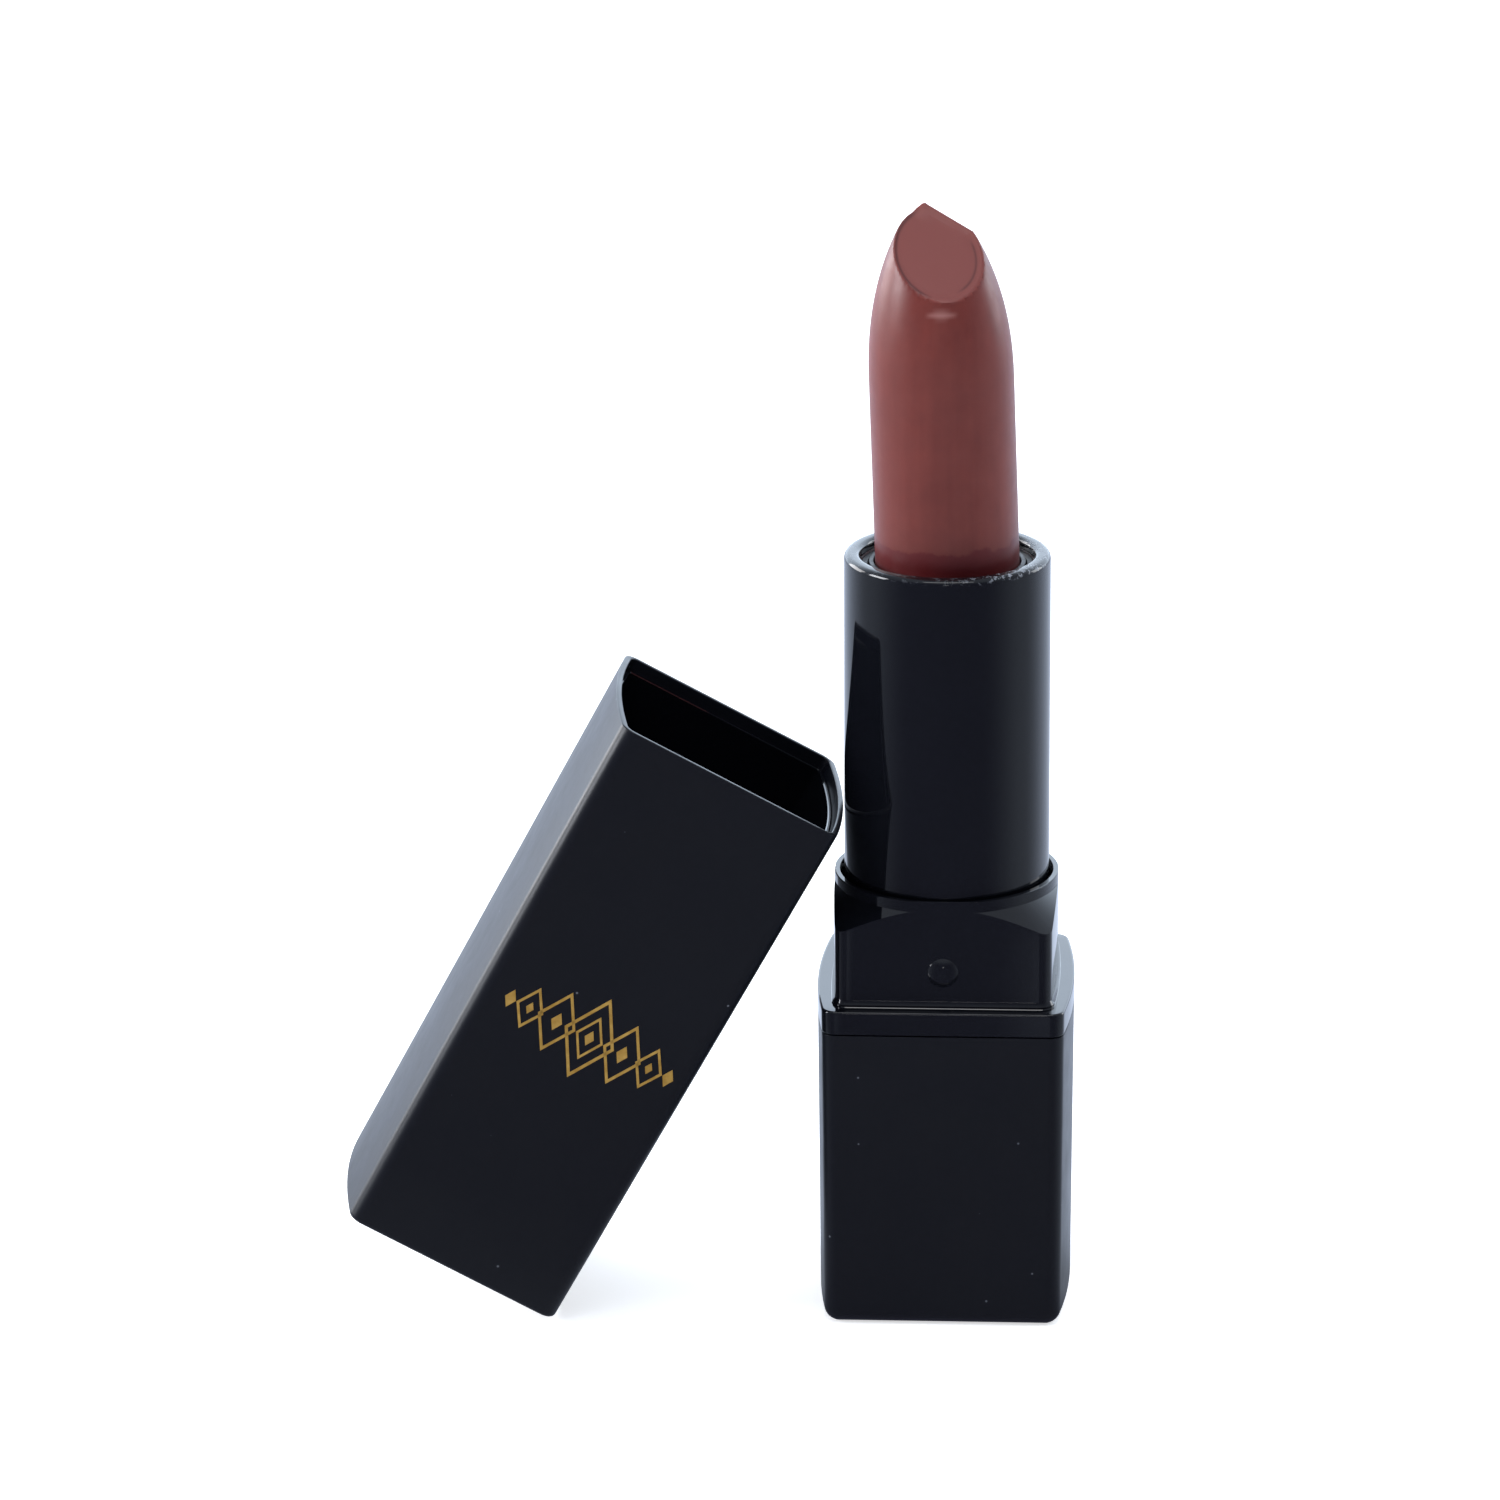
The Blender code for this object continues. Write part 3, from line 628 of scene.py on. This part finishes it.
def addSnap(bm, shape, side):
    # a shallow dome that stands on the flat: the cap of a sphere
    radius, rise = shape["snapRadius"], shape["snapRise"]
    ball = (radius ** 2 + rise ** 2) / (2 * rise)
    dome = bmesh.new()
    bmesh.ops.create_uvsphere(dome, u_segments=48, v_segments=48, radius=ball)
    cut = bmesh.ops.bisect_plane(
        dome, geom=dome.verts[:] + dome.edges[:] + dome.faces[:], dist=1e-6,
        plane_co=(0, 0, ball - rise - 0.08), plane_no=(0, 0, -1), clear_outer=True,
    )
    close(dome, [item for item in cut["geom_cut"] if isinstance(item, bmesh.types.BMEdge)])
    turn = Matrix.Rotation(-side * math.pi / 2, 4, "X")
    middle = Vector((0, side * (shape["halfDepth"] + rise - ball), shape["snapHeight"]))
    bmesh.ops.transform(dome, matrix=Matrix.Translation(middle) @ turn, verts=dome.verts)
    mesh = bpy.data.meshes.new("snapDome")
    dome.to_mesh(mesh)
    dome.free()
    bm.from_mesh(mesh)
    bpy.data.meshes.remove(mesh)


makeCollar(collarShape)


# round tube

tubeShape = {
    "radius": 8.50,
    "inner": 7.98,
    "mouth": 7.15,
    "lip": 0.85,
    "top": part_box("tube_shell")[1].z / mm,
    "base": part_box("tube_shell")[0].z / mm,
    "outerRim": 0.52,
    "innerRim": 0.45,
    "bead": (0.18, 0.70),
    "steps": 224,
    "scuff": (0.30, 0.32, 0.36),
}


def makeTube(shape):
    bm = bmesh.new()
    beadOut, beadUp = shape["bead"]
    base, top = shape["base"], shape["top"]
    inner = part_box("spiral_sleeve")[1].x / mm + 0.05
    spun(bm, [
        (inner, base, 0),
        (shape["radius"] + beadOut, base, 0.05),
        (shape["radius"] + beadOut, base + beadUp - beadOut, 0.05),
        (shape["radius"], base + beadUp, 0),
        (shape["radius"], top, shape["outerRim"]),
        (shape["mouth"], top, shape["innerRim"]),
        (shape["mouth"], top - shape["lip"], 0.05),
        (inner, top - shape["lip"], 0),
    ], shape["steps"])
    scuffs = {
        "low": (top - 0.55) * mm, "high": (top - 0.05) * mm,
        "left": 0.5 * mm, "right": 5.0 * mm, "colour": shape["scuff"],
        "grain": 2300, "worn": (0.555, 0.62),
    }
    material = makeGlossBlack("glossBlackTube", glossBlack, scuffs)
    return finishPiece(bm, "tube", material, "tube", ["tube_shell"])


makeTube(tubeShape)


# bullet of wax, and the cup that holds it

bulletShape = {
    "radius": 5.93,
    "foot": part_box("bullet")[0].z / mm,
    "leanFrom": 63.59,
    "lean": math.tan(math.radians(1.9)),
    "point": 95.14,
    "nose": 16.21,
    "power": 2.234,
    "roundness": 0.819,
    "bend": (0.355, 2.86),     # of the nose to the left, and how late it comes in
    "cut": ((0.157, -0.828, 1.0), 4.22),       # which way the face looks, and how far under the point
    "chip": ((0.640, 0.500, 1.0), 1.62),       # a nick beside the face, told the same way
    "tip": ((-1.65, 2.10, 92.75), (-0.40, 0.0, 0.42), 1.5),     # where, how it is drawn out, how far round
    # rings inside each flat, from the rim inwards: size against the last ring, depth
    "chipRings": ((0.90, 0.0), (0.80, -0.10), (0.6, -0.16)),
    "steps": 192,
    "noseSteps": 70,
    "bodySteps": 26,
    "softEdge": 0.06,
    "faceRings": (
        (0.965, 0.0), (0.972, -0.02), (0.972, -0.035), (0.965, -0.035), (0.96, -0.035), (0.97, -0.04), (0.975, -0.035),
        (0.85, -0.02), (0.7, -0.01), (0.5, 0.0),
    ),
    # painted shade along the face's rim: how dark on each ring, the middle and half span in degrees, and the span's
    # soft end
    "leftPaintedShade": (0.5, 1.0, 1.0, 0.35),
    "leftSpan": (178, 84),
    "rightPaintedShade": (0.0, 0.0, 0.0, 0.0, 0.0, 1.0, 0.3),
    "rightSpan": (-22, 48),
    "spanEnd": 14,
    "glint": ((-0.35, 85.65), (1.35, 0.40)),    # where a painted highlight lies under the face, and its half size
}


def makeBullet(shape):
    bm = bmesh.new()
    noseBase = shape["point"] - shape["nose"]
    profile = [(0.0, shape["foot"]), (shape["radius"] - 0.1, shape["foot"]), (shape["radius"], shape["foot"] + 0.1)]
    for i in range(1, shape["bodySteps"] + 1):
        profile.append((shape["radius"], shape["foot"] + (noseBase - shape["foot"]) * i / shape["bodySteps"]))
    for i in range(1, shape["noseSteps"]):
        along = math.sin(math.pi / 2 * i / shape["noseSteps"])
        radius = shape["radius"] * (1 - along ** shape["power"]) ** shape["roundness"]
        profile.append((radius, noseBase + shape["nose"] * along))
    profile.append((0.0, shape["point"]))
    verts = [bm.verts.new((radius, 0, height)) for radius, height in profile]
    edges = [bm.edges.new(pair) for pair in zip(verts[:-1], verts[1:])]
    bmesh.ops.spin(
        bm, geom=verts + edges, cent=(0, 0, 0), axis=(0, 0, 1), angle=2 * math.pi,
        steps=shape["steps"], use_merge=True,
    )
    bmesh.ops.remove_doubles(bm, verts=bm.verts, dist=1e-5)
    bend, late = shape["bend"]
    for vert in bm.verts:
        vert.co.x -= shape["lean"] * max(vert.co.z - shape["leanFrom"], 0)
        vert.co.x -= bend * (max(vert.co.z - noseBase, 0) / shape["nose"]) ** late
    tipX = -shape["lean"] * (shape["point"] - shape["leanFrom"])
    for facing, below in (shape["cut"], shape["chip"]):
        spot = Vector((tipX, 0, shape["point"] - below))
        cut = bmesh.ops.bisect_plane(
            bm, geom=bm.verts[:] + bm.edges[:] + bm.faces[:], dist=1e-5,
            plane_co=spot, plane_no=facing, clear_outer=True,
        )
        rim = [item for item in cut["geom_cut"] if isinstance(item, bmesh.types.BMEdge)]
        around = {v for e in rim for v in e.verts}
        bmesh.ops.remove_doubles(bm, verts=[v for v in bm.verts if v in around], dist=0.02)
        close(bm, [e for e in bm.edges if len(e.link_faces) == 1])
    bmesh.ops.recalc_face_normals(bm, faces=bm.faces)
    bm.normal_update()
    normal = Vector(shape["cut"][0]).normalized()
    chipNormal = Vector(shape["chip"][0]).normalized()
    # Red marks the face, Green paints shade along its rim, Blue paints a highlight under it
    faceShadeAndGlint = bm.verts.layers.float_color.new("waxFaceShadeAndGlint")
    (glintX, glintZ), (wide, tall) = shape["glint"]
    # the Blue channel holds a painted highlight under the face
    for vert in bm.verts:
        off = math.hypot((vert.co.x - glintX) / wide, (vert.co.z - glintZ) / tall)
        vert[faceShadeAndGlint] = (0, 0, max(1 - off * off, 0) if vert.co.y < -3 else 0, 1)

    def widest(facing):
        return max((f for f in bm.faces if f.normal.dot(facing) > 0.999), key=lambda f: f.calc_area())

    def stepIn(face, facing, rings):
        # rings inside a flat face, each drawn towards its middle and set to a depth
        middle = face.calc_center_median()
        made = [list(face.verts)]
        for size, depth in rings:
            pulled = bmesh.ops.extrude_face_region(bm, geom=[face])["geom"]
            bmesh.ops.delete(bm, geom=[face], context="FACES_ONLY")
            face = next(item for item in pulled if isinstance(item, bmesh.types.BMFace))
            for vert in face.verts:
                flat = vert.co - middle
                flat -= facing * facing.dot(flat)
                vert.co = middle + facing * depth + flat * size
            made.append(list(face.verts))
        return middle, made

    # how much painted shade a ring gets at one side of the face
    def paintedRimShade(darkness, span, side, number):
        off = abs((side - span[0] + 180) % 360 - 180)
        inside = min(max((span[1] - off) / shape["spanEnd"], 0), 1)
        return inside * darkness[number] if number < len(darkness) else 0

    face, chip = widest(normal), widest(chipNormal)
    stepIn(chip, chipNormal, shape["chipRings"])
    rimVerts = list(face.verts)
    middle, rings = stepIn(face, normal, shape["faceRings"])
    for vert in rimVerts:
        vert.co -= normal * shape["softEdge"]
    across = Vector((0, 0, 1)).cross(normal).normalized()
    # Red marks the face, Green is the painted shade along its rim
    for number, ring in enumerate(rings):
        for vert in ring:
            flat = vert.co - middle
            side = math.degrees(math.atan2(normal.cross(across).dot(flat), across.dot(flat)))
            dark = max(
                paintedRimShade(shape["leftPaintedShade"], shape["leftSpan"], side, number),
                paintedRimShade(shape["rightPaintedShade"], shape["rightSpan"], side, number),
            )
            vert[faceShadeAndGlint] = (1, dark, 0, 1)
    place, pull, reach = shape["tip"]
    for vert in bm.verts:
        near = max(1 - (vert.co - Vector(place)).length / reach, 0)
        vert.co += Vector(pull) * near ** 1.3
    return finishPiece(bm, "bulletWax", makeWax("roseWax", waxFinish), "carrier", ["bullet"])


makeBullet(bulletShape)


cupShape = {
    "inner": 6.03,
    "outer": 6.48,
    "vent": 1.50,
    "floor": 1.00,
    "lugRadius": 0.95,
    "lugHeight": 1.60,
    "steps": 160,
}


def makeCup(shape):
    bm = bmesh.new()
    base, top = (corner.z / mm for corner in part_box("carrier_cup"))
    spun(bm, [
        (shape["vent"], base, 0.1),
        (shape["outer"], base, 0.2),
        (shape["outer"], top, 0.12),
        (shape["inner"], top, 0.12),
        (shape["inner"], base + shape["floor"], 0),
        (shape["vent"], base + shape["floor"], 0),
    ], shape["steps"])
    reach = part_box("carrier_cup")[1].x / mm
    for side in (-1, 1):
        lug = bmesh.ops.create_cone(
            bm, cap_ends=True, segments=32, radius1=shape["lugRadius"], radius2=shape["lugRadius"],
            depth=reach - shape["inner"] - 0.1,
        )
        turn = Matrix.Rotation(side * math.pi / 2, 4, "Y")
        middle = (side * (reach + shape["inner"] + 0.1) / 2, 0, base + shape["lugHeight"])
        bmesh.ops.transform(bm, matrix=Matrix.Translation(middle) @ turn, verts=lug["verts"])
    material = makePlain("innerBlackCup", plainFinishes["innerBlack"])
    return finishPiece(bm, "carrierCup", material, "carrier", ["carrier_cup"])


makeCup(cupShape)


# cap, built standing on its closed end and then leant on the tube

capShape = {
    "length": 48.78,
    "wall": 0.51,
    "endWall": 1.30,
    "endEdge": 0.40,
    "endSteps": 5,
    "mouthEdge": 0.13,
    "mouthSteps": 3,
    "tilt": 28.9,              # degrees
    "turn": 3.26,
    "forward": 1.15,
    "gap": 0.06,
    "linerWall": 0.30,
    "linerGap": 0.05,
    "linerSetback": 1.10,
    "linerEdge": 0.08,
    "linerFloor": (1.40, 2.20),    # under it and over it
}


def capPlace(shape):
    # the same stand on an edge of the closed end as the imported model's
    draft = caseShape["draft"] * shape["length"]
    side = caseShape["halfWidth"] + caseShape["bulge"]
    edge = Vector((side - draft - shape["endEdge"], 0, shape["endEdge"]))
    tilt, turn = math.radians(shape["tilt"]), math.radians(shape["turn"])
    reach = (side - edge.x) * math.cos(tilt) + (shape["length"] - edge.z) * math.sin(tilt)
    stand = Vector((
        -tubeShape["radius"] - shape["gap"] - reach * math.cos(turn), -shape["forward"], shape["endEdge"],
    ))
    lean = Matrix.Rotation(turn, 4, "Z") @ Matrix.Rotation(tilt, 4, "Y")
    return Matrix.Translation(stand * mm) @ lean @ Matrix.Translation(-edge * mm)


def capOutline(bm, inset, height):
    return caseOutline(bm, inset, height, caseShape["draft"] * (capShape["length"] - height))


def makeCap(shape):
    bm = bmesh.new()
    end, mouth, wall, length = shape["endEdge"], shape["mouthEdge"], shape["wall"], shape["length"]
    levels = [(end * across, end * (1 - along)) for across, along in reversed(quarter(shape["endSteps"]))]
    rounding = [(mouth * across, length - mouth + mouth * along) for across, along in quarter(shape["mouthSteps"])]
    levels += rounding + [(wall - inset, height) for inset, height in reversed(rounding)]
    levels += [(wall, shape["endWall"])]
    loops = [capOutline(bm, inset, height) for inset, height in levels]
    skin(bm, loops)
    close(bm, loops[0])
    close(bm, loops[-1])
    material = makeSatinBlack("satinBlackCap", satinBlack)
    return finishPiece(bm, "capShell", material, "cap", ["cap_shell"], capPlace(shape))


def makeLiner(shape):
    bm = bmesh.new()
    outer = shape["wall"] + shape["linerGap"]
    inner = outer + shape["linerWall"]
    top = shape["length"] - shape["linerSetback"]
    base, floor = shape["linerFloor"]
    edge = shape["linerEdge"]
    levels = [
        (outer, base), (outer, top - edge), (outer + edge, top),
        (inner - edge, top), (inner, top - edge), (inner, floor),
    ]
    loops = [capOutline(bm, inset, height) for inset, height in levels]
    skin(bm, loops)
    close(bm, loops[0])
    close(bm, loops[-1])
    material = makeGlossBlack("glossBlackLiner", glossBlack)
    return finishPiece(bm, "capLiner", material, "cap", ["cap_liner"], capPlace(shape))


makeCap(capShape)
makeLiner(capShape)


# gold foil ornament on the cap's front: a row of lozenge frames that get smaller outwards

foilShape = {
    "middle": (0.4, 23.7),
    "thickness": 0.03,
    "lift": 0.004,
    # lozenges across the cap: place, half width, half height, frame width or 0 where solid
    "lozenges": (
        (0.0, 2.30, 3.90, 0.26), (0.0, 1.25, 2.10, 0.20), (0.0, 0.42, 0.72, 0.0),
        (3.05, 1.75, 2.90, 0.24), (3.05, 0.50, 0.84, 0.0),
        (5.55, 1.25, 2.00, 0.22), (5.55, 0.34, 0.55, 0.0),
        (7.35, 0.50, 0.85, 0.0),
    ),
}


def makeFoil(shape):
    bm = bmesh.new()

    def lozenge(x, z, halfWidth, halfHeight, frameWidth=0.0):
        made = bmesh.ops.create_circle(bm, cap_ends=True, segments=4, radius=1)
        verts = made["verts"]
        bmesh.ops.scale(bm, vec=(halfWidth, halfHeight, 1), verts=verts)
        bmesh.ops.translate(bm, vec=(x, z, 0), verts=verts)
        face = verts[0].link_faces[0]
        if frameWidth:
            bmesh.ops.inset_region(
                bm, faces=[face], thickness=frameWidth, use_even_offset=True, use_boundary=True,
            )
            bmesh.ops.delete(bm, geom=[face], context="FACES")

    for place, halfWidth, halfHeight, frameWidth in shape["lozenges"]:
        for side in (-1, 1) if place else (1,):
            lozenge(side * place, 0, halfWidth, halfHeight, frameWidth)
    bmesh.ops.solidify(bm, geom=bm.faces[:], thickness=shape["thickness"])
    low = min(v.co.z for v in bm.verts)
    draft = caseShape["draft"]
    for vert in bm.verts:
        across, up, out = vert.co.x, vert.co.y, vert.co.z - low
        height = shape["middle"][1] + up
        surface = caseShape["halfDepth"] - draft * (capShape["length"] - height)
        vert.co = (shape["middle"][0] + across, -surface - shape["lift"] - out, height)
    return finishPiece(bm, "goldFoil", makeGold("goldFoil", goldFinish), "cap", (), capPlace(capShape), 20)


makeFoil(foilShape)


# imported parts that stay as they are

keptParts = {
    "base_label": makeLabelPaper("labelPaper", labelFinish),
    "base_weight": makeZinc("zincPlate", zincFinish),
    "base_core": makePlain("innerBlackCore", plainFinishes["innerBlack"]),
    "guide_tube": makePlain("innerBlackGuide", plainFinishes["innerBlack"]),
    "drag_washer": makePlain("pressedFelt", plainFinishes["felt"]),
    "spiral_sleeve": makePlain("greyAcetal", plainFinishes["acetal"]),
}
for nodeName, material in keptParts.items():
    nodes[nodeName].data.materials.clear()
    nodes[nodeName].data.materials.append(material)
print("inner parts finished")


# studio

studio = {
    "floorSize": 3.0,
    "floorColour": (0.93, 0.93, 0.93),
    "floorGlow": 0.62,
    # what the tent and the table show in reflections: in front, beside and behind
    "front": (0.115, 0.120, 0.178),
    "side": (0.40, 0.45, 0.54),
    "back": (2.05, 2.40, 2.85),
    "top": (0.48, 0.53, 0.62),
    "tableBack": (0.80, 0.92, 1.15),
    # two pale strips on the table in front, seen only in gloss: colour, the line midway, and where each fades
    "strips": (0.15, 0.17, 0.20),
    "stripMiddle": -0.005,
    "stripAside": (0.007, 0.012, 0.016, 0.024),
    "stripAlong": (-0.112, -0.104, -0.085, -0.060),
}


def tentColour(tree, where, look, back):
    # dark where the camera stands, grey beside it and bright behind the object
    depth = axis(tree, where, "Y")
    sideways = ranged(tree, depth, -0.80, 0.0, 0.0, 1.0, True)
    behind = ranged(tree, depth, 0.10, 0.85, 0.0, 1.0, True)
    colour = blended(tree, sideways, look["front"], look["side"])
    return blended(tree, behind, colour, back)


def band(tree, value, fades):
    # one between the two middle places, fading to none at the outer two
    start, full, fullEnd, end = fades
    rising = ranged(tree, value, start, full, 0.0, 1.0, True)
    return arithmetic(tree, "MULTIPLY", rising, ranged(tree, value, fullEnd, end, 1.0, 0.0, True))


def makeFloor(look):
    bm = bmesh.new()
    bmesh.ops.create_grid(bm, x_segments=8, y_segments=8, size=look["floorSize"] / 2)
    mesh = bpy.data.meshes.new("studioFloor")
    bm.to_mesh(mesh)
    bm.free()
    floor = bpy.data.objects.new("studioFloor", mesh)
    scene.collection.objects.link(floor)
    material = bpy.data.materials.new("paleFloor")
    material.use_nodes = True
    tree = material.node_tree
    shader = tree.nodes["Principled BSDF"]
    shader.inputs["Base Color"].default_value = (*look["floorColour"], 1)
    shader.inputs["Roughness"].default_value = 0.9
    shader.inputs["Specular IOR Level"].default_value = 0.1
    shader.inputs["Emission Color"].default_value = (1, 1, 1, 1)
    shader.inputs["Emission Strength"].default_value = look["floorGlow"]
    # in reflections the table shows the tent's light and dark instead of its own white
    place = tree.nodes.new("ShaderNodeTexCoord").outputs["Object"]
    away = tree.nodes.new("ShaderNodeVectorMath")
    away.operation = "NORMALIZE"
    tree.links.new(place, away.inputs[0])
    aside = arithmetic(tree, "SUBTRACT", axis(tree, place, "X"), look["stripMiddle"])
    strip = band(tree, arithmetic(tree, "ABSOLUTE", aside, 0), look["stripAside"])
    strip = arithmetic(tree, "MULTIPLY", strip, band(tree, axis(tree, place, "Y"), look["stripAlong"]))
    seen = tentColour(tree, away.outputs["Vector"], look, look["tableBack"])
    dim = tree.nodes.new("ShaderNodeEmission")
    tree.links.new(blended(tree, strip, seen, look["strips"], "ADD"), dim.inputs["Color"])
    path = tree.nodes.new("ShaderNodeLightPath")
    mix = tree.nodes.new("ShaderNodeMixShader")
    out = tree.nodes["Material Output"]
    tree.links.new(path.outputs["Is Glossy Ray"], mix.inputs["Fac"])
    tree.links.new(shader.outputs["BSDF"], mix.inputs[1])
    tree.links.new(dim.outputs["Emission"], mix.inputs[2])
    tree.links.new(mix.outputs["Shader"], out.inputs["Surface"])
    mesh.materials.append(material)


def makeWorld(look):
    world = bpy.data.worlds.new("studioTent")
    scene.world = world
    world.use_nodes = True
    tree = world.node_tree
    background = tree.nodes["Background"]
    where = tree.nodes.new("ShaderNodeTexCoord").outputs["Generated"]
    colour = tentColour(tree, where, look, look["back"])
    above = ranged(tree, axis(tree, where, "Z"), 0.45, 0.9, 0.0, 1.0, True)
    colour = blended(tree, above, colour, look["top"])
    path = tree.nodes.new("ShaderNodeLightPath")
    colour = blended(tree, path.outputs["Is Camera Ray"], colour, (1.0, 1.0, 1.0))
    tree.links.new(colour, background.inputs["Color"])


softboxes = {
    "keyLeft": {"at": (-500, 300, 190), "size": (300, 260), "power": 1.5, "colour": (1.0, 0.97, 0.96), "seen": True},
    "fillRight": {"at": (520, 300, 190), "size": (200, 260), "power": 0.6, "colour": (0.97, 0.98, 1.0), "seen": True},
    "overhead": {"at": (0, 60, 620), "size": (500, 400), "power": 1.0, "colour": (1.0, 1.0, 1.0), "seen": False},
    "highLeft": {"at": (-560, -70, 260), "size": (240, 220), "power": 2.4, "colour": (0.93, 0.95, 1.0), "seen": True},
    "edgeStrip": {"at": (10, -190, 540), "size": (360, 60), "power": 0.36, "colour": (1.0, 1.0, 1.0), "seen": True},
    "glint": {"at": (0, -600, 250), "size": (70, 24), "power": 0.05, "colour": (1.0, 1.0, 1.0), "seen": True},
}


def makeSoftboxes(boxes, aim):
    for name, box in boxes.items():
        data = bpy.data.lights.new(name, "AREA")
        data.shape = "RECTANGLE"
        data.size, data.size_y = (side * mm for side in box["size"])
        data.energy = box["power"]
        data.color = box["colour"]
        light = bpy.data.objects.new(name, data)
        light.location = Vector(box["at"]) * mm
        light.rotation_euler = (Vector(aim) * mm - light.location).to_track_quat("-Z", "Y").to_euler()
        light.visible_glossy = box["seen"]
        scene.collection.objects.link(light)


makeFloor(studio)
makeWorld(studio)
makeSoftboxes(softboxes, (-10, 0, 45))
print("studio lit")
